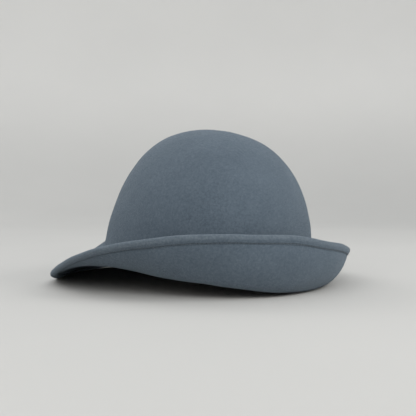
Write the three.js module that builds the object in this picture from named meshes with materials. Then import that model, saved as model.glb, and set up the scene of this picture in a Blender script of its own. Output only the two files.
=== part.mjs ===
// Wool felt cloche hat: a deep round crown and an asymmetric brim that is turned
// up in front and at one side and droops at the other side and the back.
// Millimetres, +Z up, the front of the hat towards -Y. Headings run round the
// head opening from the front (0) through +X (90) to the back (180).
import * as THREE from 'three';

// ---- felt ----
const FELT_THICKNESS = 2.1;
const HEM_WIDTH = 6.8;          // strip of the brim edge turned under
const HEM_THICKNESS = 1.5;      // turned layer, pressed flat by its stitching
const HEM_BEVEL = 0.9;          // sloping cut edge of the turned strip

// ---- head opening, measured to the inside of the felt ----
const HEAD_HALF_WIDTH = 80.4;
const HEAD_HALF_LENGTH = 96.5;
const HEAD_EGG = 0.055;         // wider at the back of the head than at the forehead
const HEADLINE_SWAY = 1.5;      // front and back stand above the sides by twice this

// ---- crown ----
const CROWN_DEPTH = 99.2;       // headline to the inside of the tip
const CROWN_FULLNESS = 2.25;    // superellipse exponent of the side profile, 2 is a dome
const CROWN_SET_BACK = 5.4;     // tip moved towards the back

// ---- brim ----
const BEND_RADIUS = 8.7;        // fold where the crown wall turns out into the brim
const BRIM_HARMONICS = 5;
// Slopes in degrees above the headline plane, at the end of the fold and at the
// edge. Width is measured over the felt from the headline to the edge.
const BRIM_SECTIONS = [
  { heading: 0, rootSlope: 57, edgeSlope: 104, width: 58 },
  { heading: 30, rootSlope: 47, edgeSlope: 111, width: 60 },
  { heading: 60, rootSlope: 30, edgeSlope: 101, width: 56.5 },
  { heading: 90, rootSlope: 19, edgeSlope: 71, width: 52.5 },
  { heading: 120, rootSlope: 12, edgeSlope: 28, width: 53 },
  { heading: 150, rootSlope: -5, edgeSlope: -20, width: 60.5 },
  { heading: 180, rootSlope: -18, edgeSlope: -46, width: 65 },
  { heading: 210, rootSlope: -28, edgeSlope: -50, width: 65 },
  { heading: 240, rootSlope: -40, edgeSlope: -45, width: 59.5 },
  { heading: 270, rootSlope: -38, edgeSlope: -20, width: 51.5 },
  { heading: 300, rootSlope: -4, edgeSlope: 31, width: 48.5 },
  { heading: 330, rootSlope: 39, edgeSlope: 79, width: 52.5 },
];

// ---- headband ----
const BAND_WIDTH = 24;
const BAND_THICKNESS = 0.9;
const BAND_GAP = 0.3;           // clearance to the felt
const BAND_FOOT = 0.6;          // lower edge above the headline

// ---- how the hat lies on a flat surface ----
const REST_PITCH = 5.15;        // degrees, front down
const REST_ROLL = 7.37;         // degrees, +X side down
const REST_FLATTENING = 1.0;    // felt pressed flat where it touches

// ---- mesh density ----
const HEADINGS = 80;
const CROWN_RINGS = 12;
const BEND_RINGS = 6;
const BRIM_RINGS = 7;
const HEM_RINGS = 2;
const EDGE_RINGS = 3;
const BAND_RINGS = 3;

// ---- small steps ----
const STRAIGHT_TURN = 1e-6;     // radians, an arc that turns less is a straight line
const NORMAL_STEP = 1e-3;       // half the span over which a face's direction is read
const NEAR_EDGE = 0.995;        // track just inside the edge, to read the edge's direction

const TURN = 2 * Math.PI;
const rad = THREE.MathUtils.degToRad;

/** Smooth closed curve of the given column round the hat, as a short Fourier series. */
function roundSeries(column) {
  const count = BRIM_SECTIONS.length;
  const terms = [];
  for (let k = 0; k <= BRIM_HARMONICS; k += 1) {
    const weight = (k === 0 ? 1 : 2) / count;
    let cosine = 0;
    let sine = 0;
    for (const section of BRIM_SECTIONS) {
      const phase = k * rad(section.heading);
      cosine += weight * section[column] * Math.cos(phase);
      sine += weight * section[column] * Math.sin(phase);
    }
    terms.push({ cosine, sine });
  }
  return (heading) => terms.reduce(
    (sum, term, k) => sum + term.cosine * Math.cos(k * heading) + term.sine * Math.sin(k * heading),
    0,
  );
}

const rootSlopeAt = roundSeries('rootSlope');
const edgeSlopeAt = roundSeries('edgeSlope');
const widthAt = roundSeries('width');

/** Point of the head opening on the inside of the felt. */
function headlinePoint(heading) {
  const taper = 1 - HEAD_EGG * Math.cos(heading);
  return new THREE.Vector3(
    HEAD_HALF_WIDTH * Math.sin(heading) * taper,
    -HEAD_HALF_LENGTH * Math.cos(heading),
    HEADLINE_SWAY * Math.cos(2 * heading),
  );
}

/** Level direction that leads away from the head at a heading. */
function outwardAt(heading) {
  return new THREE.Vector3(
    HEAD_HALF_LENGTH * Math.sin(heading),
    -HEAD_HALF_WIDTH * Math.cos(heading),
    0,
  ).normalize();
}

/** Inside of the crown; rise runs from 0 at the headline to 1 at the tip. */
function crownPoint(heading, rise) {
  const angle = rise * Math.PI / 2;
  const power = 2 / CROWN_FULLNESS;
  const spread = Math.max(Math.cos(angle), 0) ** power;
  const height = Math.sin(angle) ** power;
  const foot = headlinePoint(heading);
  return new THREE.Vector3(
    foot.x * spread,
    foot.y * spread + CROWN_SET_BACK * Math.sin(angle) ** 2,
    foot.z * spread + CROWN_DEPTH * height,
  );
}

/** Step along an arc whose slope changes evenly, as {out, up}. */
function arcStep(fromSlope, toSlope, length) {
  const turn = toSlope - fromSlope;
  if (Math.abs(turn) < STRAIGHT_TURN) {
    return { out: length * Math.cos(fromSlope), up: length * Math.sin(fromSlope) };
  }
  const radius = length / turn;
  return {
    out: radius * (Math.sin(toSlope) - Math.sin(fromSlope)),
    up: radius * (Math.cos(fromSlope) - Math.cos(toSlope)),
  };
}

/** Underside of the brim at a distance over the felt from the headline. */
function brimPoint(heading, distance) {
  const hanging = -Math.PI / 2;
  const rootSlope = rad(rootSlopeAt(heading));
  const edgeSlope = rad(edgeSlopeAt(heading));
  const bendLength = BEND_RADIUS * (rootSlope - hanging);
  const flareLength = widthAt(heading) - bendLength;
  const inBend = Math.min(distance, bendLength);
  const inFlare = Math.max(distance - bendLength, 0);
  const bendSlope = hanging + inBend / BEND_RADIUS;
  const flareSlope = rootSlope + (edgeSlope - rootSlope) * inFlare / flareLength;
  const bend = arcStep(hanging, bendSlope, inBend);
  const flare = arcStep(rootSlope, flareSlope, inFlare);
  const point = headlinePoint(heading);
  point.addScaledVector(outwardAt(heading), bend.out + flare.out);
  point.z += bend.up + flare.up;
  return point;
}

/** Point of the inner face: track -1 is the tip, 0 the headline, 1 the brim edge. */
function innerPoint(heading, track) {
  if (track < 0) {
    return crownPoint(heading, -track);
  }
  return brimPoint(heading, track * widthAt(heading));
}

/** Unit normal of the inner face, pointing to the outside of the hat. */
function outerNormal(heading, track) {
  const along = innerPoint(heading, Math.min(track + NORMAL_STEP, 1))
    .sub(innerPoint(heading, Math.max(track - NORMAL_STEP, -1)));
  const around = innerPoint(heading + NORMAL_STEP, track)
    .sub(innerPoint(heading - NORMAL_STEP, track));
  return along.cross(around).normalize();
}

/** Point at a level above (outside) or below the inner face. */
function layerPoint(heading, track, level) {
  return innerPoint(heading, track).addScaledVector(outerNormal(heading, track), level);
}

/** Closed surface through rings of points, ended by a single point at each end. */
function polarSurface(startPole, rings, endPole) {
  const positions = [startPole, ...rings.flat(), endPole];
  const size = rings[0].length;
  const last = positions.length - 1;
  const index = [];
  for (let i = 0; i < size; i += 1) {
    const next = (i + 1) % size;
    index.push(0, 1 + i, 1 + next);
    for (let r = 0; r < rings.length - 1; r += 1) {
      const a = 1 + r * size + i;
      const b = 1 + r * size + next;
      index.push(a, a + size, b, b, a + size, b + size);
    }
    const base = 1 + (rings.length - 1) * size;
    index.push(base + i, last, base + next);
  }
  return indexedGeometry(positions, index);
}

/** Closed tube through rings of points, the last ring joined to the first. */
function loopSurface(rings) {
  const size = rings[0].length;
  const index = [];
  rings.forEach((ring, r) => {
    const here = r * size;
    const there = ((r + 1) % rings.length) * size;
    for (let i = 0; i < size; i += 1) {
      const next = (i + 1) % size;
      index.push(here + i, there + i, here + next, here + next, there + i, there + next);
    }
  });
  return indexedGeometry(rings.flat(), index);
}

function indexedGeometry(points, index) {
  const geometry = new THREE.BufferGeometry();
  geometry.setFromPoints(points);
  geometry.setIndex(index);
  return geometry;
}

/** One ring of points round the hat. */
function ringOf(pointAt) {
  return Array.from({ length: HEADINGS }, (_, i) => pointAt(i * TURN / HEADINGS));
}

/** Evenly spaced fractions from one to another, without the first. */
function fractions(count, from, to) {
  return Array.from({ length: count }, (_, i) => from + (to - from) * (i + 1) / count);
}

/** Track of a distance back from the brim edge. */
function trackFromEdge(heading, distance) {
  return 1 - distance / widthAt(heading);
}

/** Track of the end of the fold between crown and brim. */
function bendEndTrack(heading) {
  return BEND_RADIUS * rad(rootSlopeAt(heading) + 90) / widthAt(heading);
}

/** Tracks of the crown, the fold and the open brim as functions of the heading. */
function feltTracks() {
  const blend = (part) => (heading) => {
    const start = bendEndTrack(heading);
    const end = trackFromEdge(heading, HEM_WIDTH + HEM_BEVEL);
    return start + (end - start) * part;
  };
  return [
    ...fractions(CROWN_RINGS, -1, 0).map((track) => () => track),
    ...fractions(BEND_RINGS, 0, 1).map((part) => (heading) => part * bendEndTrack(heading)),
    ...fractions(BRIM_RINGS, 0, 1).map(blend),
  ];
}

/** Ring on the rounded edge; turn runs from the upper face round to the hem. */
function edgeRing(turn) {
  const middle = (FELT_THICKNESS - HEM_THICKNESS) / 2;
  const radius = (FELT_THICKNESS + HEM_THICKNESS) / 2;
  return ringOf((heading) => {
    const normal = outerNormal(heading, 1);
    const reach = innerPoint(heading, 1).sub(innerPoint(heading, NEAR_EDGE)).normalize();
    return innerPoint(heading, 1)
      .addScaledVector(normal, middle + radius * Math.cos(turn))
      .addScaledVector(reach, radius * Math.sin(turn));
  });
}

/** Crown and brim of one piece of felt, with the brim edge turned under. */
function buildFeltHood() {
  const tracks = feltTracks();
  const rings = [];
  const layer = (trackAt, level) => {
    rings.push(ringOf((heading) => layerPoint(heading, trackAt(heading), level)));
  };
  tracks.forEach((trackAt) => layer(trackAt, FELT_THICKNESS));
  const hemTracks = fractions(HEM_RINGS, HEM_WIDTH, 0)
    .map((distance) => (heading) => trackFromEdge(heading, distance));
  const hemStart = (heading) => trackFromEdge(heading, HEM_WIDTH);
  layer(hemStart, FELT_THICKNESS);
  hemTracks.forEach((trackAt) => layer(trackAt, FELT_THICKNESS));
  fractions(EDGE_RINGS, 0, Math.PI).slice(0, -1).forEach((turn) => rings.push(edgeRing(turn)));
  hemTracks.slice().reverse().forEach((trackAt) => layer(trackAt, -HEM_THICKNESS));
  layer(hemStart, -HEM_THICKNESS);
  tracks.slice().reverse().forEach((trackAt) => layer(trackAt, 0));
  const tip = crownPoint(0, 1);
  const outerTip = tip.clone().setZ(tip.z + FELT_THICKNESS);
  return polarSurface(outerTip, rings, tip);
}

/** Ribbon round the inside of the head opening. */
function buildHeadband() {
  const rise = (height) => 2 / Math.PI
    * Math.asin((height / CROWN_DEPTH) ** (CROWN_FULLNESS / 2));
  const heights = [BAND_FOOT, ...fractions(BAND_RINGS, BAND_FOOT, BAND_FOOT + BAND_WIDTH)];
  const ringAt = (height, level) => ringOf((heading) => layerPoint(heading, -rise(height), level));
  return loopSurface([
    ...heights.map((height) => ringAt(height, -BAND_GAP)).reverse(),
    ...heights.map((height) => ringAt(height, -BAND_GAP - BAND_THICKNESS)),
  ]);
}

/** Turns the pieces to the way the hat lies and lifts it onto z = 0. */
function layDown(geometries) {
  const pose = new THREE.Matrix4().makeRotationFromEuler(
    new THREE.Euler(rad(REST_PITCH), rad(REST_ROLL), 0),
  );
  const bounds = new THREE.Box3();
  for (const geometry of geometries) {
    geometry.applyMatrix4(pose);
    geometry.computeBoundingBox();
    bounds.union(geometry.boundingBox);
  }
  const middle = bounds.getCenter(new THREE.Vector3());
  for (const geometry of geometries) {
    geometry.translate(-middle.x, -middle.y, -bounds.min.z - REST_FLATTENING);
    const position = geometry.attributes.position;
    for (let i = 0; i < position.count; i += 1) {
      position.setZ(i, Math.max(position.getZ(i), 0));
    }
  }
}

function buildMesh(name, geometry, color, roughness) {
  geometry.computeVertexNormals();
  const material = new THREE.MeshStandardMaterial({ color, roughness, metalness: 0 });
  material.name = name;
  const mesh = new THREE.Mesh(geometry, material);
  mesh.name = name;
  return mesh;
}

const hood = buildFeltHood();
const headband = buildHeadband();
layDown([hood, headband]);

const hat = new THREE.Group();
hat.name = 'cloche_hat';
hat.add(buildMesh('felt_hood', hood, 0x5a646d, 0.95));
hat.add(buildMesh('inner_headband', headband, 0x1d1e20, 0.8));

export default hat;
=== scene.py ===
"""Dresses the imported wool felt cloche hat.

The hood is one piece of grey-blue felt with its brim edge turned under and
stitched, short nap stands on it, and a ribbed ribbon lines the head opening.

Metres, +Z up, the front of the hat towards -Y. Headings run round the head
opening in radians from the front (0) through +X to the back (pi).
"""

from __future__ import annotations

import logging
import math
from dataclasses import dataclass, field
from enum import Enum
from typing import Any, Sequence

import bmesh
import bpy
import numpy as np
from mathutils import Matrix, Vector

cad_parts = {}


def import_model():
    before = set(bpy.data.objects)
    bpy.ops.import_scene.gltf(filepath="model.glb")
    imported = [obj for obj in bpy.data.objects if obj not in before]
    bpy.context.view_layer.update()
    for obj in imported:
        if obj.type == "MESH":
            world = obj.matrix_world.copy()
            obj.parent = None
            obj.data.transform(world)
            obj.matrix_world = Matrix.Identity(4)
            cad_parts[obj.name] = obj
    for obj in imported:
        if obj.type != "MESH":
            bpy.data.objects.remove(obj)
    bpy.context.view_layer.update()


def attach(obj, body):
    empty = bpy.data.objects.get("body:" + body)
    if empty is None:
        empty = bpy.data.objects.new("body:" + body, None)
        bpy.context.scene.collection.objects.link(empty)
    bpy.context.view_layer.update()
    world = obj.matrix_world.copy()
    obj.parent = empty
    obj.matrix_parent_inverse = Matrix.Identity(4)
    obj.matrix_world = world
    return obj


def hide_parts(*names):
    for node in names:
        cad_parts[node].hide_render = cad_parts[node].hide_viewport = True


MM = 0.001
TURN = 2 * math.pi
MERGE = 1e-6
STRAIGHT = 1e-6
TINY = 1e-12
NUDGE = 1e-9
STITCHES = 285
STITCH_LINE = 4.1 * MM
UP = np.array([0.0, 0.0, 1.0])

Colour = tuple[float, float, float, float]
Socket = bpy.types.NodeSocket
Piece = bpy.types.Object
Material = bpy.types.Material
Work = bmesh.types.BMesh
Array = np.ndarray
Sockets = dict[str | int, Any]
GridRow = tuple[Array, Array, float]

log = logging.getLogger("hat")


# ---------------------------------------------------------------- the form


@dataclass(frozen=True)
class BrimSection:
    """Profile of the brim at one heading.

    Args:
        heading: Place round the hat, in degrees from the front.
        root_slope: Slope above the headline plane at the end of the fold, in degrees.
        edge_slope: Slope at the edge, in degrees.
        width: Length over the felt from the headline to the edge, in millimetres.
    """

    heading: float
    root_slope: float
    edge_slope: float
    width: float


BRIM_SECTIONS = (
    BrimSection(0, 57, 104, 58),
    BrimSection(30, 47, 111, 60),
    BrimSection(60, 30, 101, 56.5),
    BrimSection(90, 19, 71, 52.5),
    BrimSection(120, 12, 28, 53),
    BrimSection(150, -5, -20, 60.5),
    BrimSection(180, -18, -46, 65),
    BrimSection(210, -28, -50, 65),
    BrimSection(240, -40, -45, 59.5),
    BrimSection(270, -38, -20, 51.5),
    BrimSection(300, -4, 31, 48.5),
    BrimSection(330, 39, 79, 52.5),
)


@dataclass
class Waves:
    """Seeded sum of plane waves, a smooth random field of about unit strength.

    Args:
        length: Typical wavelength in metres.
        seed: Start of the random directions and phases.
        count: Number of waves.
        spread: Shortest and longest of them, as shares of the typical one.
    """

    length: float
    seed: int
    count: int = 28
    spread: tuple[float, float] = (0.7, 1.6)

    def __post_init__(self) -> None:
        """Draws the directions, lengths and phases."""
        chance = np.random.default_rng(self.seed)
        aim = chance.normal(size=(self.count, 3))
        aim /= np.linalg.norm(aim, axis=1, keepdims=True)
        stretch = chance.uniform(*self.spread, size=(self.count, 1))
        self.vectors = aim * TURN / (self.length * stretch)
        self.phases = chance.uniform(0, TURN, size=self.count)

    def at(self, points: Array) -> Array:
        """Value of the field at each point, the last axis being x, y and z."""
        angles = points @ self.vectors.T + self.phases
        return np.cos(angles).sum(axis=-1) * math.sqrt(2 / self.count)


def ease(value: Array, low: float, high: float) -> Array:
    """Smooth step from 0 at low to 1 at high, for each value."""
    share = np.clip((value - low) / (high - low), 0, 1)
    return share * share * (3 - 2 * share)


def unit(vectors: Array) -> Array:
    """Vectors along the last axis, scaled to unit length."""
    length = np.linalg.norm(vectors, axis=-1, keepdims=True)
    return vectors / np.maximum(length, TINY)


@dataclass
class HatForm:
    """The blocked shape of the felt, which every piece of the hat follows.

    A track runs over the felt from -1 at the tip of the crown through 0 at the
    headline to 1 at the edge of the brim. A level is a height above the inner
    face, towards the outside of the hat.
    """

    felt_thickness: float = 2.1 * MM
    hem_thickness: float = 1.5 * MM
    half_width: float = 80.4 * MM
    half_length: float = 96.5 * MM
    egg: float = 0.055
    sway: float = 1.5 * MM
    crown_depth: float = 99.2 * MM
    crown_fullness: float = 2.25
    crown_set_back: float = 5.4 * MM
    bend_radius: float = 8.7 * MM
    harmonics: int = 5
    rest_pitch: float = math.radians(5.15)
    rest_roll: float = math.radians(7.37)
    rest_flattening: float = 1.0 * MM
    rest_give: float = 0.35 * MM
    sway_waves: Waves = field(default_factory=lambda: Waves(62 * MM, 3))
    dent_waves: Waves = field(default_factory=lambda: Waves(17 * MM, 8))
    rim_waves: Waves = field(default_factory=lambda: Waves(48 * MM, 21))
    sway_height: float = 0.40 * MM
    dent_height: float = 0.07 * MM
    rim_wander: float = 0.34 * MM
    rim_reach: float = 26 * MM
    track_step: float = 2e-3
    heading_step: float = 1e-3
    line_samples: int = 4001
    rest_columns: int = 80
    rest_bend_rows: int = 9
    rest_rim_rows: int = 4

    def __post_init__(self) -> None:
        """Works out the turn and the shift that lay the hat down."""
        self.turn = np.array(
            Matrix.Rotation(self.rest_pitch, 3, "X") @ Matrix.Rotation(self.rest_roll, 3, "Y")
        )
        self.shift = self._rest_shift()

    def round(self, column: str, heading: Array) -> Array:
        """Smooth closed curve of one column of the brim sections.

        Args:
            column: Name of the column.
            heading: Headings to read it at.

        Returns:
            Value at each heading, in the column's own unit.
        """
        places = np.radians([section.heading for section in BRIM_SECTIONS])
        values = np.array([getattr(section, column) for section in BRIM_SECTIONS], float)
        total = np.full(np.shape(heading), values.mean())
        for k in range(1, self.harmonics + 1):
            total = total + 2 * (values * np.cos(k * places)).mean() * np.cos(k * heading)
            total = total + 2 * (values * np.sin(k * places)).mean() * np.sin(k * heading)
        return total

    def width(self, heading: Array) -> Array:
        """Width of the brim over the felt at each heading, in metres."""
        return self.round("width", heading) * MM

    def bend_end(self, heading: Array) -> Array:
        """Track at which the fold between crown and brim ends."""
        turned = np.radians(self.round("root_slope", heading) + 90)
        return self.bend_radius * turned / self.width(heading)

    def from_edge(self, heading: Array, distance: Array | float) -> Array:
        """Track at a distance back from the edge of the brim."""
        return 1 - distance / self.width(heading)

    def headline(self, heading: Array) -> Array:
        """Line of the head opening on the inside of the felt.

        Args:
            heading: Headings to read it at.

        Returns:
            Points before the hat is laid down.
        """
        taper = 1 - self.egg * np.cos(heading)
        across = self.half_width * np.sin(heading) * taper
        back = -self.half_length * np.cos(heading)
        return np.stack([across, back, self.sway * np.cos(2 * heading)], axis=-1)

    def outward(self, heading: Array) -> Array:
        """Level unit vectors that lead away from the head."""
        across, back = self.half_length * np.sin(heading), -self.half_width * np.cos(heading)
        return unit(np.stack([across, back, np.zeros_like(heading)], axis=-1))

    def crown(self, heading: Array, rise: Array) -> Array:
        """Inside of the crown.

        Args:
            heading: Headings of the points.
            rise: 0 at the headline, 1 at the tip.

        Returns:
            Points before the hat is laid down.
        """
        angle = rise * math.pi / 2
        power = 2 / self.crown_fullness
        spread = np.maximum(np.cos(angle), 0) ** power
        height = np.maximum(np.sin(angle), 0) ** power
        point = self.headline(heading) * spread[..., None]
        point[..., 1] += self.crown_set_back * np.sin(angle) ** 2
        point[..., 2] += self.crown_depth * height
        return point

    def brim(self, heading: Array, distance: Array) -> Array:
        """Underside of the brim.

        Args:
            heading: Headings of the points.
            distance: Length over the felt from the headline.

        Returns:
            Points before the hat is laid down.
        """
        hanging = -math.pi / 2
        root = np.radians(self.round("root_slope", heading))
        edge = np.radians(self.round("edge_slope", heading))
        bend_length = self.bend_radius * (root - hanging)
        flare_length = self.width(heading) - bend_length
        in_bend = np.minimum(distance, bend_length)
        in_flare = np.maximum(distance - bend_length, 0)
        bend_slope = hanging + in_bend / self.bend_radius
        flare_slope = root + (edge - root) * in_flare / flare_length
        out, up = 0.0, 0.0
        arcs = ((hanging, bend_slope, in_bend), (root, flare_slope, in_flare))
        for start, end, length in arcs:
            bent = end - start
            straight = np.abs(bent) < STRAIGHT
            radius = length / np.where(straight, STRAIGHT, bent)
            curved_out = radius * (np.sin(end) - np.sin(start))
            curved_up = radius * (np.cos(start) - np.cos(end))
            out = out + np.where(straight, length * np.cos(start), curved_out)
            up = up + np.where(straight, length * np.sin(start), curved_up)
        point = self.headline(heading) + self.outward(heading) * out[..., None]
        point[..., 2] += up
        return point

    def inner(self, heading: Array, track: Array) -> Array:
        """Points of the inner face, before the hat is laid down."""
        brim = self.brim(heading, np.clip(track, 0, 1) * self.width(heading))
        return np.where((track < 0)[..., None], self.crown(heading, np.clip(-track, 0, 1)), brim)

    def along(self, heading: Array, track: Array) -> Array:
        """Unit vectors that lead over the felt towards the edge."""
        ahead = self.inner(heading, np.minimum(track + self.track_step, 1))
        return unit(ahead - self.inner(heading, np.maximum(track - self.track_step, -1)))

    def normal(self, heading: Array, track: Array) -> Array:
        """Normals of the inner face, towards the outside of the hat.

        Args:
            heading: Headings of the points.
            track: Tracks of the points.

        Returns:
            Unit vectors.
        """
        step = self.heading_step
        around = self.inner(heading + step, track) - self.inner(heading - step, track)
        facing = unit(np.cross(self.along(heading, track), unit(around)))
        at_tip = (track < self.track_step / 2 - 1)[..., None]
        return np.where(at_tip, UP, facing)

    def place(
        self, heading: Array, track: Array, level: Array | float, overhang: Array | float = 0.0
    ) -> Array:
        """Points of the felt as the hat lies, with its small unevenness.

        Args:
            heading: Headings of the points.
            track: Tracks of the points.
            level: Heights above the inner face.
            overhang: Lengths past the track, over the felt.

        Returns:
            Points in the frame of the part.
        """
        inner = self.inner(heading, track)
        to_edge = (1 - track) * self.width(heading)
        near = 1 - ease(to_edge, 0, self.rim_reach)
        lift = level + self.sway_waves.at(inner) * self.sway_height
        lift = lift + self.dent_waves.at(inner) * self.dent_height
        wander = overhang + self.rim_waves.at(inner) * self.rim_wander * near
        point = inner + self.normal(heading, track) * lift[..., None]
        point = point + self.along(heading, track) * wander[..., None]
        return self.lay(point)

    def lay(self, points: Array) -> Array:
        """Turns points to the way the hat lies and presses them on the surface.

        Args:
            points: Points before the hat is laid down.

        Returns:
            Points in the frame of the part, none below the surface.
        """
        laid = points @ self.turn.T + self.shift
        height = laid[..., 2]
        laid[..., 2] = (height + np.sqrt(height**2 + self.rest_give**2)) / 2
        return laid

    def _rest_shift(self) -> Array:
        """Works out how the plain form is centred and stood on the surface.

        Returns:
            The shift along x, y and z.
        """
        ring = np.arange(self.rest_columns) * TURN / self.rest_columns
        points = [self.inner(ring[:1], np.full(1, -1.0)) + [[0, 0, self.felt_thickness]]]
        for part in np.linspace(0, 1, self.rest_bend_rows):
            points.append(self.inner(ring, self.bend_end(ring) * part))
        edge = np.ones_like(ring)
        middle, radius = self.rim_round()
        for turn in np.linspace(0, math.pi, self.rest_rim_rows):
            level = middle + radius * math.cos(turn)
            rim = self.inner(ring, edge) + self.normal(ring, edge) * level
            points.append(rim + self.along(ring, edge) * radius * math.sin(turn))
        cloud = np.concatenate(points) @ self.turn.T
        low, high = cloud.min(axis=0), cloud.max(axis=0)
        middle_of = (low + high) / 2
        return np.array([-middle_of[0], -middle_of[1], -low[2] - self.rest_flattening])

    def rim_round(self) -> tuple[float, float]:
        """Level of the middle of the rounded edge, and its radius."""
        thick, hem = self.felt_thickness, self.hem_thickness
        return (thick - hem) / 2, (thick + hem) / 2

    def even_headings(self, count: int, track: float, start: float = math.pi) -> Array:
        """Headings that divide a line round the hat into equal lengths.

        Args:
            count: Number of divisions.
            track: Track of the line.
            start: Heading of the first and the last of them.

        Returns:
            count + 1 headings, the last a full turn after the first.
        """
        fine = np.linspace(start, start + TURN, self.line_samples)
        line = self.inner(fine, np.full_like(fine, track))
        steps = np.linalg.norm(np.diff(line, axis=0), axis=1)
        travelled = np.concatenate([[0.0], np.cumsum(steps)])
        return np.interp(np.linspace(0, travelled[-1], count + 1), travelled, fine)


# ---------------------------------------------------------------- finishes


class ShaderSheet:
    """Lays out and joins the nodes of one material."""

    def __init__(self, name: str) -> None:
        """Starts an empty material.

        Args:
            name: Name of the material.
        """
        self.material = bpy.data.materials.new(name)
        self.material.use_nodes = True
        self.tree = self.material.node_tree
        self.tree.nodes.clear()

    def add(
        self, kind: str, sockets: Sockets | None = None, **settings: Any
    ) -> bpy.types.Node:
        """Adds one node.

        Args:
            kind: Type of the node.
            sockets: Inputs by name or number, each a value or a socket to join.
            settings: Settings of the node itself.

        Returns:
            The node.
        """
        node = self.tree.nodes.new(kind)
        for name, value in settings.items():
            setattr(node, name, value)
        for name, value in (sockets or {}).items():
            socket = node.inputs[name]
            if isinstance(value, Socket):
                self.tree.links.new(value, socket)
            else:
                socket.default_value = value
        return node

    def place(self, name: str = "Object") -> Socket:
        """Coordinates of the shaded point."""
        return self.add("ShaderNodeTexCoord").outputs[name]

    def part(self, vector: Socket, axis: str) -> Socket:
        """One part of a vector: X, Y or Z."""
        return self.add("ShaderNodeSeparateXYZ", {0: vector}).outputs[axis]

    def reading(self, attribute: str) -> Socket:
        """Number that a piece carries on its mesh under a name."""
        return self.add("ShaderNodeAttribute", attribute_name=attribute).outputs["Fac"]

    def noise(
        self, vector: Socket, scale: float, output: str = "Fac", **layers: float
    ) -> Socket:
        """Noise texture.

        Args:
            vector: Coordinates to read it at.
            scale: Cells in a metre.
            output: Fac for a number, Color for three.
            layers: Its detail, roughness and distortion, where not the usual ones.

        Returns:
            The noise.
        """
        sockets: Sockets = {"Vector": vector, "Scale": scale}
        sockets.update({name.capitalize(): value for name, value in layers.items()})
        return self.add("ShaderNodeTexNoise", sockets).outputs[output]

    def maths(self, operation: str, *terms: Any) -> Socket:
        """Result of one sum on numbers or sockets."""
        sockets = dict(enumerate(terms))
        return self.add("ShaderNodeMath", sockets, operation=operation).outputs[0]

    def vector_maths(self, operation: str, sockets: Sockets) -> Socket:
        """Result of one sum on vectors."""
        return self.add("ShaderNodeVectorMath", sockets, operation=operation).outputs[0]

    def total(self, *parts: tuple[Socket, float]) -> Socket:
        """Adds numbers up.

        Args:
            parts: Each a number and the weight it is taken times.

        Returns:
            The sum.
        """
        (value, weight), *others = parts
        result = self.maths("MULTIPLY", value, weight)
        for value, weight in others:
            result = self.maths("MULTIPLY_ADD", value, weight, result)
        return result

    def span(
        self, value: Socket, source: Sequence[float], target: Sequence[float] = (0.0, 1.0)
    ) -> Socket:
        """Maps a range of a number smoothly to another and holds it there.

        Args:
            value: The number.
            source: Range that is read.
            target: Range that it becomes.

        Returns:
            The mapped number.
        """
        names = ("Value", "From Min", "From Max", "To Min", "To Max")
        sockets = dict(zip(names, (value, *source, *target)))
        node = self.add("ShaderNodeMapRange", sockets, interpolation_type="SMOOTHSTEP")
        return node.outputs["Result"]

    def blend(self, share: Socket, first: Any, second: Any) -> Socket:
        """Colour between two, by a share from 0 to 1."""
        sockets = {0: share, 6: first, 7: second}
        return self.add("ShaderNodeMix", sockets, data_type="RGBA").outputs[2]

    def relief(
        self, height: Socket, depth: float, strength: float = 1.0, under: Socket | None = None
    ) -> Socket:
        """Bump from a height, on top of another one.

        Args:
            height: Height from 0 to 1.
            depth: What a height of 1 measures, in metres.
            strength: Share of it that shows.
            under: Normal that it is laid on.

        Returns:
            The new normal.
        """
        sockets: Sockets = {"Height": height, "Distance": depth, "Strength": strength}
        if under is not None:
            sockets["Normal"] = under
        return self.add("ShaderNodeBump", sockets).outputs["Normal"]

    def finish(self, sockets: Sockets) -> Material:
        """Closes the material with its surface.

        Args:
            sockets: Inputs of the surface shader by name.

        Returns:
            The material.
        """
        surface = self.add("ShaderNodeBsdfPrincipled", sockets)
        self.add("ShaderNodeOutputMaterial", {"Surface": surface.outputs[0]})
        return self.material


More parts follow.
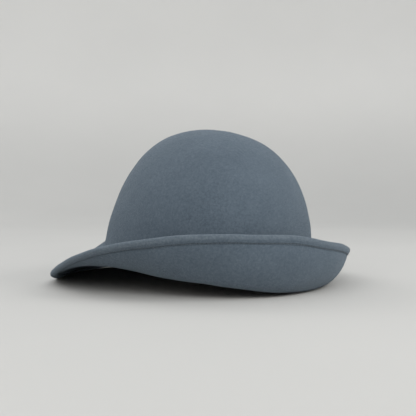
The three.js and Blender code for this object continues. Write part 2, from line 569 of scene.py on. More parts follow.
@dataclass(frozen=True)
class FeltFinish:
    """Matte wool felt: matted fibres, soft mottling, a paler edge that is partly wear and partly
    a painted highlight, and painted shade along the stitch groove.
    """

    deep: Colour = (0.067, 0.090, 0.115, 1.0)
    body: Colour = (0.095, 0.123, 0.154, 1.0)
    pale: Colour = (0.140, 0.175, 0.211, 1.0)
    # Pale lint flecks, and the rim, where this colour is partly wear and partly a painted
    # highlight.
    wear_and_highlight: Colour = (0.162, 0.192, 0.218, 1.0)
    sheen_tint: Colour = (0.60, 0.71, 0.80, 1.0)
    # Painted shade in the pulled-in stitch groove, darkest at the needle holes.
    painted_groove_shade: Colour = (0.02, 0.027, 0.034, 1.0)
    stops: tuple[float, float, float] = (0.16, 0.53, 0.95)
    blotch_scale: float = 36.0
    mottle_scale: float = 640.0
    speck_scale: float = 2300.0
    bend_scale: float = 300.0
    fibre_share: float = 0.36
    mottle_share: float = 0.36
    blotch_share: float = 0.12
    speck_share: float = 0.22
    fleck_share: float = 0.22
    fibre_length: float = 2.4 * MM
    fibre_width: float = 0.17 * MM
    fibre_bend: float = 1.3 * MM
    fibre_turns: tuple[tuple[float, float, float], ...] = (
        (0.3, 0.2, 0.5),
        (0.9, 1.3, 0.1),
        (1.7, 0.6, 2.1),
    )
    lint_shift: float = 0.073
    shift_slant: float = 0.7
    fibre_relief: float = 0.65
    speck_relief: float = 0.35
    soft_depth: float = 0.20 * MM
    fine_depth: float = 0.15 * MM
    wear_and_highlight_width: float = 2.4 * MM
    line_width: tuple[float, float] = (0.15 * MM, 0.60 * MM)
    hole_reach: tuple[float, float] = (0.04, 0.17)
    painted_groove_shade_share: float = 0.82
    line_relief: float = 1.3

    def fibres(self, sheet: ShaderSheet, place: Socket, seed: float) -> Socket:
        """Streaks of matted fibres that cross in all directions.

        Args:
            sheet: Material that the nodes are added to.
            place: Coordinates of the shaded point.
            seed: Shift that sets this layer apart from another.

        Returns:
            Height of the fibres, from 0 to 1.
        """
        bend = sheet.noise(place, self.bend_scale + seed, detail=1.0, output="Color")
        centred = sheet.vector_maths("SUBTRACT", {0: bend, 1: (0.5, 0.5, 0.5)})
        scaled = sheet.vector_maths("SCALE", {0: centred, "Scale": 2 * self.fibre_bend})
        bent = sheet.vector_maths("ADD", {0: place, 1: scaled})
        strongest: Socket | None = None
        for turn in self.fibre_turns:
            sockets = {
                "Vector": bent,
                "Location": (seed, seed * self.shift_slant, 0.0),
                "Rotation": turn,
                "Scale": (self.fibre_length, self.fibre_width, self.fibre_width),
            }
            stretched = sheet.add("ShaderNodeMapping", sockets, vector_type="TEXTURE")
            streak = sheet.noise(stretched.outputs[0], 1.0, detail=1.0, roughness=0.45)
            if strongest is None:
                strongest = streak
            else:
                strongest = sheet.maths("MAXIMUM", strongest, streak)
        return sheet.span(strongest, (0.48, 0.74))

    def make(self, name: str) -> Material:
        """Builds the material.

        Args:
            name: Name of the material.

        Returns:
            The material.
        """
        sheet = ShaderSheet(name)
        place = sheet.place()
        fibres = self.fibres(sheet, place, 0.0)
        lint = self.fibres(sheet, place, self.lint_shift)
        blotch = sheet.noise(place, self.blotch_scale, detail=3.0, roughness=0.55)
        mottle = sheet.noise(place, self.mottle_scale, detail=4.0, roughness=0.62, distortion=0.4)
        speck = sheet.noise(place, self.speck_scale, roughness=0.6)
        shade = sheet.total(
            (fibres, self.fibre_share),
            (sheet.span(mottle, (0.3, 0.7)), self.mottle_share),
            (sheet.span(blotch, (0.25, 0.75)), self.blotch_share),
            (sheet.span(speck, (0.3, 0.75)), self.speck_share),
        )
        ramp = sheet.add("ShaderNodeValToRGB", {"Fac": shade})
        ramp.color_ramp.interpolation = "EASE"
        elements = ramp.color_ramp.elements
        elements.new(self.stops[1])
        tones = (self.deep, self.body, self.pale)
        for element, stop, tone in zip(elements, self.stops, tones):
            element.position, element.color = stop, tone
        colour = ramp.outputs["Color"]
        flecks = sheet.maths("MULTIPLY", sheet.span(lint, (0.93, 1.0)), self.fleck_share)
        colour = sheet.blend(flecks, colour, self.wear_and_highlight)
        height = sheet.total((fibres, self.fibre_relief), (speck, self.speck_relief))
        colour, height = self.edge_marks(sheet, colour, height, mottle)
        soft = sheet.relief(mottle, self.soft_depth, 0.5)
        return sheet.finish(
            {
                "Base Color": colour,
                "Roughness": 0.96,
                "Specular IOR Level": 0.18,
                "Sheen Weight": 0.27,
                "Sheen Roughness": 0.42,
                "Sheen Tint": self.sheen_tint,
                "Normal": sheet.relief(height, self.fine_depth, 0.8, soft),
            }
        )

    def edge_marks(
        self, sheet: ShaderSheet, colour: Socket, height: Socket, mottle: Socket
    ) -> tuple[Socket, Socket]:
        """Adds the paler rim, partly wear and partly a painted highlight, and the pulled-in
        stitch line with painted shade in its groove and needle holes.

        Args:
            sheet: Material that the nodes are added to.
            colour: Colour of the open felt.
            height: Height of the open felt.
            mottle: Noise that breaks up the wear and painted highlight of the rim.

        Returns:
            The new colour and height.
        """
        distance = sheet.maths("ABSOLUTE", sheet.reading("edge_distance"))
        # Paler rim: partly wear, partly a painted highlight where the turned edge catches the
        # light.
        at_rim = sheet.span(distance, (0.1 * MM, self.wear_and_highlight_width), (1.0, 0.0))
        rim_wear_and_highlight = sheet.maths("MULTIPLY", at_rim, sheet.span(mottle, (0.25, 0.8), (0.15, 0.60)))
        colour = sheet.blend(rim_wear_and_highlight, colour, self.wear_and_highlight)
        # Painted shade along the pulled-in stitch line, darkest at the needle holes; the same
        # mask sinks the bump there.
        off_line = sheet.maths("ABSOLUTE", sheet.maths("SUBTRACT", distance, STITCH_LINE))
        in_line = sheet.span(off_line, self.line_width, (1.0, 0.0))
        around = sheet.part(sheet.place("UV"), "X")
        phase = sheet.maths("FRACT", sheet.maths("MULTIPLY", around, float(STITCHES)))
        to_hole = sheet.maths("MINIMUM", phase, sheet.maths("SUBTRACT", 1.0, phase))
        hole = sheet.span(to_hole, self.hole_reach, (1.0, 0.40))
        pulled = sheet.maths("MULTIPLY", in_line, hole)
        dark = sheet.maths("MULTIPLY", pulled, self.painted_groove_shade_share)
        colour = sheet.blend(dark, colour, self.painted_groove_shade)
        sunk = sheet.maths("MULTIPLY", pulled, self.line_relief)
        return colour, sheet.maths("SUBTRACT", height, sunk)


@dataclass(frozen=True)
class NapFinish:
    """Single wool fibres, in more than one shade."""

    body: Colour = (0.105, 0.133, 0.160, 1.0)
    pale: Colour = (0.170, 0.200, 0.228, 1.0)
    tone_scale: float = 900.0

    def make(self, name: str) -> Material:
        """Builds the material.

        Args:
            name: Name of the material.

        Returns:
            The material.
        """
        sheet = ShaderSheet(name)
        tone = sheet.noise(sheet.place(), self.tone_scale, roughness=0.6)
        return sheet.finish(
            {
                "Base Color": sheet.blend(sheet.span(tone, (0.4, 0.75)), self.body, self.pale),
                "Roughness": 0.85,
                "Specular IOR Level": 0.2,
            }
        )


@dataclass(frozen=True)
class ThreadFinish:
    """Twisted sewing thread, darker between its plies, a painted shade, and lighter on top of
    them, a painted highlight.
    """

    dark: Colour = (0.034, 0.044, 0.054, 1.0)
    light: Colour = (0.075, 0.093, 0.11, 1.0)
    ply_scale: float = 2600.0
    ply_depth: float = 0.06 * MM

    def make(self, name: str) -> Material:
        """Builds the material.

        Args:
            name: Name of the material.

        Returns:
            The material.
        """
        sheet = ShaderSheet(name)
        plies = sheet.noise(sheet.place(), self.ply_scale, roughness=0.6, distortion=0.8)
        # Painted shade between the plies and painted highlight on their tops, from the same noise
        # as the bump.
        share = sheet.span(plies, (0.35, 0.65))
        return sheet.finish(
            {
                "Base Color": sheet.blend(share, self.dark, self.light),
                "Roughness": 0.7,
                "Specular IOR Level": 0.3,
                "Sheen Weight": 0.2,
                "Normal": sheet.relief(share, self.ply_depth, 0.8),
            }
        )


@dataclass(frozen=True)
class RibbonFinish:
    """Black ribbed cotton ribbon, with painted shade in the grooves and painted highlights on the
    crests of its ribs and warp threads, an uneven tone and dust.
    """

    # Colour in the grooves, a painted shade, and on the crests, a painted highlight.
    groove: Colour = (0.0085, 0.0090, 0.0100, 1.0)
    rib: Colour = (0.026, 0.027, 0.029, 1.0)
    dust: Colour = (0.060, 0.062, 0.065, 1.0)
    ribs: int = 580
    warp_threads: int = 74
    fuzz_scale: float = 1900.0
    uneven_scale: float = 120.0
    crest_highlight_share: float = 0.55
    warp_highlight_share: float = 0.2
    uneven_share: float = 0.25
    dust_share: float = 0.22
    weave_depth: float = 0.09 * MM

    def make(self, name: str) -> Material:
        """Builds the material.

        Args:
            name: Name of the material.

        Returns:
            The material.
        """
        sheet = ShaderSheet(name)
        place = sheet.place()
        width = sheet.part(sheet.place("UV"), "Y")
        across = sheet.maths("MULTIPLY", width, self.warp_threads * TURN)
        warp = sheet.maths("MULTIPLY_ADD", sheet.maths("SINE", across), 0.5, 0.5)
        fuzz = sheet.noise(place, self.fuzz_scale, detail=3.0, roughness=0.65)
        uneven = sheet.noise(place, self.uneven_scale, detail=3.0, roughness=0.55)
        # Lighter on the rib and warp crests (painted highlight), darker in the grooves (painted
        # shade), with random unevenness.
        share = sheet.total(
            (warp, self.warp_highlight_share),
            (sheet.reading("rib_crest"), self.crest_highlight_share),
            (sheet.span(uneven, (0.3, 0.7)), self.uneven_share),
        )
        colour = sheet.blend(share, self.groove, self.rib)
        dust = sheet.maths("MULTIPLY", sheet.span(fuzz, (0.6, 0.82)), self.dust_share)
        height = sheet.total((warp, 0.5), (fuzz, 0.5))
        return sheet.finish(
            {
                "Base Color": sheet.blend(dust, colour, self.dust),
                "Roughness": 0.78,
                "Specular IOR Level": 0.35,
                "Sheen Weight": 0.25,
                "Sheen Roughness": 0.4,
                "Normal": sheet.relief(height, self.weave_depth, 0.7),
            }
        )


@dataclass(frozen=True)
class PaperFinish:
    """Matte pale paper of the studio, with painted shade on the floor and painted light up the
    sweep.
    """

    floor: Colour = (0.560, 0.553, 0.534, 1.0)
    wall_painted_lighter: Colour = (0.785, 0.770, 0.742, 1.0)
    sweep_height: float = 0.55
    cloud_scale: float = 3.0
    cloud_share: float = 0.06
    grain_scale: float = 900.0
    grain_depth: float = 0.05 * MM

    def make(self, name: str) -> Material:
        """Builds the material.

        Args:
            name: Name of the material.

        Returns:
            The material.
        """
        sheet = ShaderSheet(name)
        place = sheet.place()
        cloud = sheet.span(sheet.noise(place, self.cloud_scale, detail=3.0), (0.3, 0.7))
        # Painted light: the paper turns lighter with height, so the floor reads darker than the
        # wall.
        height = sheet.part(place, "Z")
        rise = sheet.span(height, (0.0, self.sweep_height), (0.0, 1.0 - self.cloud_share))
        shade = sheet.maths("MULTIPLY_ADD", cloud, self.cloud_share, rise)
        grain = sheet.noise(place, self.grain_scale)
        return sheet.finish(
            {
                "Base Color": sheet.blend(shade, self.floor, self.wall_painted_lighter),
                "Roughness": 0.9,
                "Specular IOR Level": 0.15,
                "Normal": sheet.relief(grain, self.grain_depth, 0.3),
            }
        )


# ---------------------------------------------------------------- pieces


def to_piece(name: str, work: Work, finish: Material) -> Piece:
    """Turns a finished bmesh into a smooth object at the origin.

    Args:
        name: Name of the piece.
        work: The bmesh, which is freed.
        finish: Material of the whole piece.

    Returns:
        The object.
    """
    for face in work.faces:
        face.smooth = True
    mesh = bpy.data.meshes.new(name)
    work.to_mesh(mesh)
    work.free()
    mesh.materials.append(finish)
    piece = bpy.data.objects.new(name, mesh)
    bpy.context.scene.collection.objects.link(piece)
    return piece


def report(piece: Piece) -> None:
    """Logs a piece with its triangles and its size.

    Args:
        piece: The finished piece.
    """
    count = sum(len(polygon.vertices) - 2 for polygon in piece.data.polygons)
    cloud = np.array([vertex.co for vertex in piece.data.vertices])
    span = (cloud.max(axis=0) - cloud.min(axis=0)) / MM
    log.info("%s: %d triangles, %.1f x %.1f x %.1f mm", piece.name, count, *span)


def laid_grid(points: Array, attribute: str, values: Array) -> Work:
    """Flat grid laid onto points, its seam closed and its faces turned outward.

    Args:
        points: Places in rows and columns, the last axis being x, y and z.
        attribute: Name of a number that each vertex carries.
        values: That number, in the same rows and columns.

    Returns:
        The bmesh with its UV map.
    """
    rows, columns = values.shape[0] - 1, values.shape[1] - 1
    work = bmesh.new()
    work.loops.layers.uv.new("weave")
    bmesh.ops.create_grid(work, x_segments=columns, y_segments=rows, size=0.5, calc_uvs=True)
    layer = work.verts.layers.float.new(attribute)
    flat = np.array([vertex.co for vertex in work.verts]) + 0.5
    column = np.rint(flat[:, 0] * columns).astype(int)
    row = np.rint(flat[:, 1] * rows).astype(int)
    for vertex, place, value in zip(work.verts, points[row, column], values[row, column]):
        vertex.co = place
        vertex[layer] = value
    bmesh.ops.remove_doubles(work, verts=work.verts[:], dist=MERGE)
    bmesh.ops.recalc_face_normals(work, faces=work.faces[:])
    return work


class Face(Enum):
    """The two faces of the brim that the edge stitching shows on."""

    UPPER = "upper"
    UNDER = "under"


@dataclass
class EdgeSeam:
    """The line of stitches that holds the turned edge."""

    form: HatForm
    distance: float = STITCH_LINE
    groove_depth: float = 0.28 * MM
    groove_width: float = 0.27 * MM
    upper_share: float = 0.8
    puff: float = 0.12 * MM
    press: float = 0.85 * MM
    press_start: float = 1.0 * MM
    pucker: Waves = field(default_factory=lambda: Waves(9 * MM, 5))
    pucker_height: float = 0.07 * MM
    pucker_reach: float = 2.2 * MM

    def upper_level(self, heading: Array, distance: Array) -> Array:
        """Level of the upper face at a distance from the edge."""
        groove = self.groove_depth * self.upper_share * self._groove(distance)
        return self.form.felt_thickness - groove + self._pucker(heading, distance)

    def under_level(self, heading: Array, distance: Array) -> Array:
        """Level of the turned strip's face.

        Args:
            heading: Headings of the points.
            distance: Distances from the edge.

        Returns:
            Levels of the points.
        """
        cushion = self.puff * np.sin(np.clip(distance / self.distance, 0, 1) * math.pi)
        pressed = self.press * ease(distance, self.press_start, self.distance)
        groove = self.groove_depth * self._groove(distance)
        thick = self.form.hem_thickness + cushion - pressed - groove
        return -thick - self._pucker(heading, distance)

    def _groove(self, distance: Array) -> Array:
        """Depth of the pulled-in line, 1 at its middle."""
        return np.exp(-(((distance - self.distance) / self.groove_width) ** 2))

    def _pucker(self, heading: Array, distance: Array) -> Array:
        """Small swellings of the felt between the stitches.

        Args:
            heading: Headings of the points.
            distance: Distances from the edge.

        Returns:
            Height of the swelling at each point.
        """
        track = self.form.from_edge(heading, distance)
        wave = self.pucker.at(self.form.inner(heading, track))
        near = np.exp(-(((distance - self.distance) / self.pucker_reach) ** 2))
        return self.pucker_height * wave * near


@dataclass(frozen=True)
class CutRow:
    """One line along the raw edge of the turned strip.

    Args:
        distance: Distance from the edge of the brim, in millimetres.
        level: Height from the turned strip's face (1) to the underside (0).
    """

    distance: float
    level: float


@dataclass
class FeltHood:
    """Crown and brim, blocked from one piece of felt.

    The grid runs from the outer tip over the crown and the brim to the edge,
    round it, and back over the underside to the inner tip. The lines along the
    hem, the strip and its raw edge are distances from the edge in millimetres.
    """

    form: HatForm
    seam: EdgeSeam
    finish: FeltFinish
    columns: int = 480
    crown_rows: int = 40
    bend_rows: int = 11
    flare_rows: int = 20
    rim_rows: int = 8
    hem_start: float = 9.0 * MM
    hem_waves: Waves = field(default_factory=lambda: Waves(11 * MM, 31))
    hem_wander: float = 0.10 * MM
    crown_mark: float = 1.0
    hem_lines: tuple[float, ...] = (
        9.0, 7.8, 6.8, 5.9, 5.2, 4.8, 4.5, 4.35, 4.22, 4.1,
        3.98, 3.85, 3.65, 3.3, 2.8, 2.1, 1.4, 0.7,
    )
    strip_lines: tuple[float, ...] = (
        0.7, 1.4, 2.1, 2.7, 3.2, 3.5, 3.7, 3.85, 3.98, 4.1, 4.2, 4.3, 4.38, 4.45,
    )
    cut_rows: tuple[CutRow, ...] = (
        CutRow(4.52, 0.93), CutRow(4.58, 0.76), CutRow(4.62, 0.50),
        CutRow(4.66, 0.24), CutRow(4.72, 0.06), CutRow(4.88, -0.02),
        CutRow(5.3, -0.01), CutRow(6.2, 0.0), CutRow(7.6, 0.0),
    )

    def _seam_row(self, face: Face, heading: Array, line: float) -> GridRow:
        """Line of the grid beside the seam.

        Args:
            face: Face of the brim that it is on.
            heading: Headings of the columns.
            line: Its distance from the edge, in millimetres.

        Returns:
            Its tracks, levels and overhang.
        """
        level = self.seam.upper_level if face is Face.UPPER else self.seam.under_level
        distance = np.full_like(heading, line * MM)
        return self.form.from_edge(heading, distance), level(heading, distance), 0.0

    def _rows(self, heading: Array) -> list[GridRow]:
        """Lists the lines of the grid, from the outer tip to the inner one.

        Args:
            heading: Headings of the columns.

        Returns:
            Tracks, levels and overhang of each line.
        """
        thick = self.form.felt_thickness
        flat = np.ones_like(heading)
        bend_end = self.form.bend_end(heading)
        flare_end = self.form.from_edge(heading, self.hem_start)

        open_tracks = [flat * -rise for rise in np.linspace(1, 0, self.crown_rows + 1)]
        for part in np.linspace(0, 1, self.bend_rows + 1)[1:]:
            open_tracks.append(bend_end * part)
        for part in np.linspace(0, 1, self.flare_rows + 1)[1:-1]:
            open_tracks.append(bend_end + (flare_end - bend_end) * part)

        rows = [(track, flat * thick, 0.0) for track in open_tracks]
        for line in self.hem_lines:
            rows.append(self._seam_row(Face.UPPER, heading, line))
        middle, radius = self.form.rim_round()
        for turn in np.linspace(0, math.pi, self.rim_rows + 1):
            level = flat * (middle + radius * math.cos(turn))
            rows.append((flat, level, radius * math.sin(turn)))
        for line in self.strip_lines:
            rows.append(self._seam_row(Face.UNDER, heading, line))
        wander = self.hem_waves.at(self.form.headline(heading)) * self.hem_wander
        strip = rows[-1][1]
        for cut in self.cut_rows:
            track = self.form.from_edge(heading, cut.distance * MM + wander)
            rows.append((track, strip * cut.level, 0.0))
        rows.append((flare_end, flat * 0.0, 0.0))
        rows += [(track, flat * 0.0, 0.0) for track in reversed(open_tracks)]
        return rows

    def build(self) -> Piece:
        """Builds the felt and dresses it.

        Returns:
            The hood.
        """
        heading = self.form.even_headings(self.columns, 1.0)
        rows = self._rows(heading)
        tracks = np.stack([row[0] for row in rows])
        levels = np.stack([row[1] for row in rows])
        overhang = np.array([row[2] for row in rows])[:, None] + np.zeros_like(levels)
        headings = np.broadcast_to(heading, tracks.shape)
        points = self.form.place(headings, tracks, levels, overhang)
        to_edge = (1 - np.maximum(tracks, 0)) * self.form.width(headings)
        to_edge = np.where(tracks < 0, self.crown_mark, to_edge)
        upper_rows = len(self.hem_lines) + self.crown_rows + self.bend_rows + self.flare_rows
        upper = np.arange(len(rows)) < upper_rows + self.rim_rows // 2
        signed = to_edge * np.where(upper, 1.0, -1.0)[:, None]
        work = laid_grid(points, "edge_distance", signed)
        hood = to_piece("wool_felt_hood", work, self.finish.make("wool_felt"))
        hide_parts("felt_hood")
        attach(hood, "root")
        return hood


class NapField(Enum):
    """Parts of the felt that carry nap, with the range of edge distance of each.

    The underside's distances are negative, and the crown is marked with 1.
    """

    CROWN = ("nap_crown", 0.5, 2.0)
    BRIM_UPPER = ("nap_brim_upper", -0.001, 0.08)
    BRIM_UNDER = ("nap_brim_under", -0.08, 0.001)


@dataclass(frozen=True)
class FeltFaces:
    """The felt's triangles, a row for each.

    Args:
        corners: Places of their three corners.
        area: Their areas.
        normal: Their unit normals.
        distance: Their signed distances from the edge.
    """

    corners: Array
    area: Array
    normal: Array
    distance: Array


@dataclass
class FeltNap:
    """Short loose fibres that stand and lie on the outside of the felt."""

    hood: Piece
    finish: NapFinish
    doublings: int = 15
    length: float = 1.05 * MM
    thickness: float = 0.036 * MM
    root: float = 0.06 * MM
    longest: float = 1.9
    length_spread: tuple[float, float] = (-0.1, 0.4)
    width_range: tuple[float, float] = (0.7, 1.2)
    upright: float = 0.50
    lowest: float = 0.06
    brushed: float = 0.35
    seed: int = 77

    def _faces(self) -> FeltFaces:
        """Reads the felt's triangles.

        Returns:
            The triangles.
        """
        mesh = self.hood.data
        mesh.calc_loop_triangles()
        count = len(mesh.loop_triangles)
        corners = np.empty(count * 3, np.int32)
        mesh.loop_triangles.foreach_get("vertices", corners)
        corners = corners.reshape(-1, 3)
        places = np.empty(len(mesh.vertices) * 3)
        mesh.vertices.foreach_get("co", places)
        places = places.reshape(-1, 3)
        distance = np.empty(len(mesh.vertices))
        mesh.attributes["edge_distance"].data.foreach_get("value", distance)
        first, second, third = (places[corners[:, k]] for k in range(3))
        cross = np.cross(second - first, third - first)
        return FeltFaces(
            corners=np.stack([first, second, third], axis=1),
            area=np.linalg.norm(cross, axis=1) / 2,
            normal=unit(cross),
            distance=distance[corners].mean(axis=1),
        )

    def _feet(
        self, faces: FeltFaces, part: NapField, chance: np.random.Generator
    ) -> tuple[Array, Array]:
        """Scatters the feet of the fibres evenly over a part of the felt.

        Args:
            faces: The felt's triangles.
            part: Part of the felt.
            chance: Source of the random draws.

        Returns:
            The feet, and the felt's normal at each.
        """
        _, low, high = part.value
        inside = (faces.distance > low) & (faces.distance < high)
        weight = np.where(inside, faces.area, 0.0)
        count = 2**self.doublings
        picked = chance.choice(len(weight), size=count, p=weight / weight.sum())
        share = np.sqrt(chance.random(count))[:, None]
        other = chance.random(count)[:, None]
        corners = faces.corners[picked]
        foot = (
            corners[:, 0] * (1 - share)
            + corners[:, 1] * share * (1 - other)
            + corners[:, 2] * share * other
        )
        return foot, faces.normal[picked]

    def _strands(self, faces: FeltFaces, part: NapField) -> Array:
        """Corner points of every fibre of a part.

        Args:
            faces: The felt's triangles.
            part: Part of the felt.

        Returns:
            Array of fibres, each with three root points and a tip, none of
            them below the surface the hat lies on.
        """
        chance = np.random.default_rng(self.seed + len(part.value[0]))
        foot, normal = self._feet(faces, part, chance)
        count = len(foot)
        loose = chance.normal(size=(count, 3))
        flat = unit(loose - normal * (loose * normal).sum(axis=1, keepdims=True))
        around = unit(np.cross(normal, UP) + NUDGE)
        flat = unit(flat + around * self.brushed)
        rise = np.abs(chance.normal(0, self.upright, count))[:, None] + self.lowest
        aim = unit(flat + normal * rise)
        side = unit(np.cross(normal, flat))
        cap = np.cross(side, aim)
        stretch = np.minimum(chance.lognormal(*self.length_spread, count), self.longest)
        long = self.length * stretch[:, None]
        wide = self.thickness / 2 * chance.uniform(*self.width_range, count)[:, None]
        foot = foot - normal * self.root
        ring = [
            foot + (side * math.cos(turn) + cap * math.sin(turn)) * wide
            for turn in (0.0, TURN / 3, 2 * TURN / 3)
        ]
        strands = np.stack([*ring, foot + aim * long], axis=1)
        strands[..., 2] = np.abs(strands[..., 2])
        return strands

    def _spikes(self, strands: Array) -> Work:
        """Copies one three-sided spike until there is one for every fibre.

        Args:
            strands: Corner points of the fibres.

        Returns:
            The bmesh, its faces turned outward.
        """
        work = bmesh.new()
        strand = work.verts.layers.int.new("strand")
        corner = work.verts.layers.int.new("corner")
        bmesh.ops.create_cone(
            work, cap_ends=True, segments=3, radius1=1.0, radius2=0.0, depth=1.0
        )
        roots_first = sorted(work.verts, key=lambda vertex: vertex.co.z)
        for number, vertex in enumerate(roots_first):
            vertex[corner] = number
        for doubling in range(self.doublings):
            whole = work.verts[:] + work.edges[:] + work.faces[:]
            for copied in bmesh.ops.duplicate(work, geom=whole)["geom"]:
                if isinstance(copied, bmesh.types.BMVert):
                    copied[strand] += 2**doubling
        for vertex in work.verts:
            vertex.co = strands[vertex[strand], vertex[corner]]
        work.normal_update()
        bmesh.ops.recalc_face_normals(work, faces=work.faces[:])
        return work

    def build(self) -> list[Piece]:
        """Builds the nap of each part.

        Returns:
            One object for each part.
        """
        faces = self._faces()
        material = self.finish.make("felt_nap")
        pieces = []
        for part in NapField:
            spikes = self._spikes(self._strands(faces, part))
            nap = to_piece(part.value[0], spikes, material)
            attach(nap, "root")
            pieces.append(nap)
        return pieces


@dataclass
class EdgeStitching:
    """Machine stitches that show in the groove on both faces of the brim."""

    form: HatForm
    seam: EdgeSeam
    finish: ThreadFinish
    share_of_pitch: float = 0.86
    thickness: float = 0.42 * MM
    flatness: float = 0.84
    sides: int = 7
    rings: int = 5
    proud: float = 0.05 * MM

    def _matrix(self, start: Vector, end: Vector, above: Vector) -> Matrix:
        """What turns a ball of radius 1 into one stitch.

        Args:
            start: Where the stitch begins.
            end: Where the next one begins.
            above: A point straight above its start.

        Returns:
            The matrix.
        """
        up = (above - start).normalized()
        along = (end - start).normalized()
        side = up.cross(along).normalized()
        up = along.cross(side)
        turn = Matrix((side, up, along)).transposed().to_4x4()
        length = (end - start).length * self.share_of_pitch
        half = self.thickness / 2
        scale = Matrix.Diagonal((half, half * self.flatness, length / 2, 1.0))
        return Matrix.Translation((start + end) / 2) @ turn @ scale

    def build(self) -> list[Piece]:
        """Builds one run of stitches for each face.

        Returns:
            The two runs.
        """
        material = self.finish.make("edge_thread")
        ends = self.form.even_headings(STITCHES, 1.0)
        distance = np.full_like(ends, self.seam.distance)
        track = self.form.from_edge(ends, distance)
        levels = {
            Face.UPPER: self.seam.upper_level(ends, distance) + self.proud,
            Face.UNDER: self.seam.under_level(ends, distance) - self.proud,
        }
        runs = []
        for face, level in levels.items():
            line = [Vector(point) for point in self.form.place(ends, track, level)]
            above = [Vector(point) for point in self.form.place(ends, track, level + MM)]
            work = bmesh.new()
            for start, end, over in zip(line, line[1:], above):
                matrix = self._matrix(start, end, over)
                bmesh.ops.create_uvsphere(
                    work, u_segments=self.sides, v_segments=self.rings, radius=1.0, matrix=matrix
                )
            run = to_piece(f"edge_stitches_{face.value}", work, material)
            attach(run, "root")
            runs.append(run)
        return runs


@dataclass
class Headband:
    """Ribbed ribbon round the inside of the head opening."""

    form: HatForm
    finish: RibbonFinish
    width: float = 24.0 * MM
    foot: float = 0.6 * MM
    gap: float = 0.32 * MM
    thickness: float = 0.55 * MM
    rib_height: float = 0.13 * MM
    scallop: float = 0.16 * MM
    slack: float = 0.30 * MM
    slack_waves: Waves = field(default_factory=lambda: Waves(70 * MM, 14))
    lowest: float = 0.1 * MM
    edge_fade: float = 0.6 * MM
    faded: float = 0.35
    scallop_reach: float = 0.5 * MM
    lap_gap: float = 0.08 * MM
    head_middle: float = 20 * MM
    columns_in_rib: int = 4
    lap_ribs: int = 13
    lines: tuple[float, ...] = (
        0.0, 0.25, 0.6, 1.2, 2.4, 4.5, 7.5, 10.5, 13.5, 16.5,
        19.5, 21.6, 22.8, 23.4, 23.75, 24.0,
    )

    def rise(self, height: Array) -> Array:
        """Rise on the crown at a height above the headline."""
        share = np.clip(height / self.form.crown_depth, 0, 1)
        return 2 / math.pi * np.arcsin(share ** (self.form.crown_fullness / 2))

    def _points(self, heading: Array, crest: Array, lift: float) -> Array:
        """Side of the ribbon towards the head, with its ribs, edges and slack.

        Args:
            heading: Headings of the columns.
            crest: Height of the rib at each column, from 0 to 1.
            lift: How far the grooves between the ribs stand off the felt.

        Returns:
            Points in rows up the ribbon and columns along it.
        """
        line = np.array(self.lines)[:, None] * MM
        share = line / self.width
        to_side = np.minimum(line, self.width - line)
        fade = self.faded + (1 - self.faded) * ease(to_side, 0, self.edge_fade)
        outer_end = np.where(share < 0.5, -1.0, 1.0) * (1 - ease(to_side, 0, self.scallop_reach))
        height = self.foot + line + outer_end * self.scallop * crest
        height = np.maximum(height, self.lowest)
        slack = 0.5 + 0.5 * self.slack_waves.at(self.form.headline(heading))
        loose = self.slack * np.clip(slack, 0, 1) * (1 - share) ** 2
        level = -(lift + loose + self.rib_height * (crest * fade))
        headings = np.broadcast_to(heading, height.shape)
        return self.form.place(headings, -self.rise(height), level)

    def _strip(
        self, name: str, heading: Array, ribs: int, lift: float, material: Material
    ) -> Piece:
        """Ribbon over a run of headings.

        Args:
            name: Name of the piece.
            heading: Headings of its columns.
            ribs: Ribs that it holds.
            lift: How far its side towards the head stands off the felt.
            material: Its finish.

        Returns:
            The strip, closed all round.
        """
        columns = len(heading) - 1
        crest = 0.5 - 0.5 * np.cos(np.arange(columns + 1) * ribs / columns * TURN)
        points = self._points(heading, crest, lift)
        work = laid_grid(points, "rib_crest", np.broadcast_to(crest, points.shape[:2]))
        inside = Vector(self.form.lay(UP * self.head_middle))
        facing = sum((inside - f.calc_center_median()).dot(f.normal) for f in work.faces)
        if facing < 0:
            bmesh.ops.reverse_faces(work, faces=work.faces[:])
        bmesh.ops.solidify(work, geom=work.faces[:], thickness=self.thickness)
        strip = to_piece(name, work, material)
        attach(strip, "root")
        return strip

    def build(self) -> list[Piece]:
        """Builds the band and the lap over its join at the back.

        Returns:
            The band and the lap.
        """
        material = self.finish.make("black_ribbed_ribbon")
        track = -float(self.rise(np.array(self.foot + self.width / 2)))
        ribs = self.finish.ribs
        heading = self.form.even_headings(ribs * self.columns_in_rib, track)
        reach = self.gap + self.thickness
        band = self._strip("ribbon_headband", heading, ribs, reach, material)
        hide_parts("inner_headband")
        half = self.lap_ribs * (TURN / ribs) / 2
        lap_columns = self.lap_ribs * self.columns_in_rib
        lap_heading = np.linspace(math.pi - half, math.pi + half, lap_columns + 1)
        over = reach + self.thickness + self.rib_height + self.slack + self.lap_gap
        lap = self._strip("ribbon_lap", lap_heading, self.lap_ribs, over, material)
        return [band, lap]


# ---------------------------------------------------------------- studio


@dataclass(frozen=True)
class SoftLight:
    """Soft rectangular light that is aimed at the hat.

    Args:
        name: Name of the light.
        place: Where it stands.
        size: Its width and height.
        power: Its power in watts.
        colour: Its colour.
    """

    name: str
    place: tuple[float, float, float]
    size: tuple[float, float]
    power: float
    colour: tuple[float, float, float]


SOFT_LIGHTS = (
    SoftLight("key_light", (0.35, -2.0, 1.25), (1.6, 1.2), 12.0, (1.0, 0.99, 0.97)),
    SoftLight("fill_light", (-1.2, -1.4, 1.05), (1.4, 1.0), 3.6, (1.0, 0.99, 0.98)),
    SoftLight("side_light", (1.4, -0.75, 1.05), (0.8, 0.8), 5.1, (1.0, 0.99, 0.97)),
    SoftLight("back_light", (-1.1, 1.35, 1.25), (1.2, 1.0), 4.6, (1.0, 0.99, 0.98)),
)


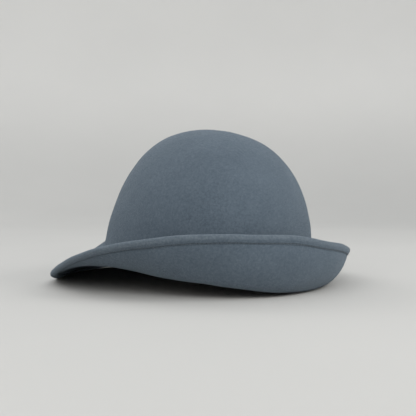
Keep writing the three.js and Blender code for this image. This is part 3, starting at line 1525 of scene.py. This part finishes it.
@dataclass
class Studio:
    """Pale floor that sweeps up all round the hat, soft light and the camera."""

    floor_radius: float = 1.15
    sweep_radius: float = 1.5
    sweep_steps: int = 40
    turns: int = 128
    azimuth: float = math.radians(-13.8)
    elevation: float = math.radians(1.0)
    distance: float = 0.58
    lens: float = 60.6
    sensor: float = 36.0
    nearest: float = 0.01
    aim: tuple[float, float, float] = (0.004, -0.012, 0.060)
    level: float = -0.1 * MM
    light_spread: float = math.radians(140)
    air_colour: Colour = (0.93, 0.965, 1.0, 1.0)
    air_strength: float = 0.76

    def build_floor(self, finish: PaperFinish) -> Piece:
        """Builds the floor with its sweep.

        Args:
            finish: Finish of the paper.

        Returns:
            The floor.
        """
        work = bmesh.new()
        centre = bmesh.ops.create_vert(work, co=(0, 0, self.level))["vert"][0]
        foot = bmesh.ops.create_vert(work, co=(self.floor_radius, 0, self.level))["vert"][0]
        work.edges.new((centre, foot))
        bmesh.ops.spin(
            work,
            geom=[foot],
            cent=(self.floor_radius, 0, self.level + self.sweep_radius),
            axis=(0, -1, 0),
            angle=math.pi / 2,
            steps=self.sweep_steps,
            use_duplicate=False,
        )
        bmesh.ops.spin(
            work,
            geom=work.verts[:] + work.edges[:],
            cent=(0, 0, 0),
            axis=(0, 0, 1),
            angle=TURN,
            steps=self.turns,
            use_merge=True,
        )
        bmesh.ops.remove_doubles(work, verts=work.verts[:], dist=MERGE)
        bmesh.ops.recalc_face_normals(work, faces=work.faces[:])
        floor = to_piece("studio_floor", work, finish.make("studio_paper"))
        return floor

    def add_light(self, plan: SoftLight) -> None:
        """Adds one light, aimed at the hat.

        Args:
            plan: The light to add.
        """
        light = bpy.data.lights.new(plan.name, "AREA")
        light.shape = "RECTANGLE"
        light.size, light.size_y = plan.size
        light.energy = plan.power
        light.color = plan.colour
        light.spread = self.light_spread
        lamp = bpy.data.objects.new(plan.name, light)
        lamp.location = plan.place
        aim = Vector(self.aim) - Vector(plan.place)
        lamp.rotation_euler = aim.to_track_quat("-Z", "Y").to_euler()
        bpy.context.scene.collection.objects.link(lamp)

    def build_light(self) -> None:
        """Sets the pale surroundings and the soft lights."""
        world = bpy.data.worlds.new("studio_air")
        world.use_nodes = True
        air = world.node_tree.nodes["Background"]
        air.inputs["Color"].default_value = self.air_colour
        air.inputs["Strength"].default_value = self.air_strength
        bpy.context.scene.world = world
        for plan in SOFT_LIGHTS:
            self.add_light(plan)
        bpy.context.scene.view_settings.view_transform = "Standard"

    def build_camera(self) -> None:
        """Sets the camera."""
        lens = bpy.data.cameras.new("viewpoint")
        lens.lens = self.lens
        lens.sensor_width = self.sensor
        lens.clip_start = self.nearest
        camera = bpy.data.objects.new("viewpoint", lens)
        flat = math.cos(self.elevation)
        across, back = math.sin(self.azimuth) * flat, -math.cos(self.azimuth) * flat
        towards = Vector((across, back, math.sin(self.elevation)))
        camera.location = Vector(self.aim) + towards * self.distance
        camera.rotation_euler = (-towards).to_track_quat("-Z", "Y").to_euler()
        bpy.context.scene.collection.objects.link(camera)
        bpy.context.scene.camera = camera


def main() -> None:
    """Builds the hat and its studio, piece by piece."""
    logging.basicConfig(level=logging.INFO, format="%(name)s: %(message)s")
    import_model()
    form = HatForm()
    seam = EdgeSeam(form)
    hood = FeltHood(form, seam, FeltFinish()).build()
    naps = FeltNap(hood, NapFinish()).build()
    runs = EdgeStitching(form, seam, ThreadFinish()).build()
    strips = Headband(form, RibbonFinish()).build()
    for piece in (hood, *naps, *runs, *strips):
        report(piece)
    studio = Studio()
    studio.build_floor(PaperFinish())
    studio.build_light()
    studio.build_camera()


if __name__ == "__main__":
    main()
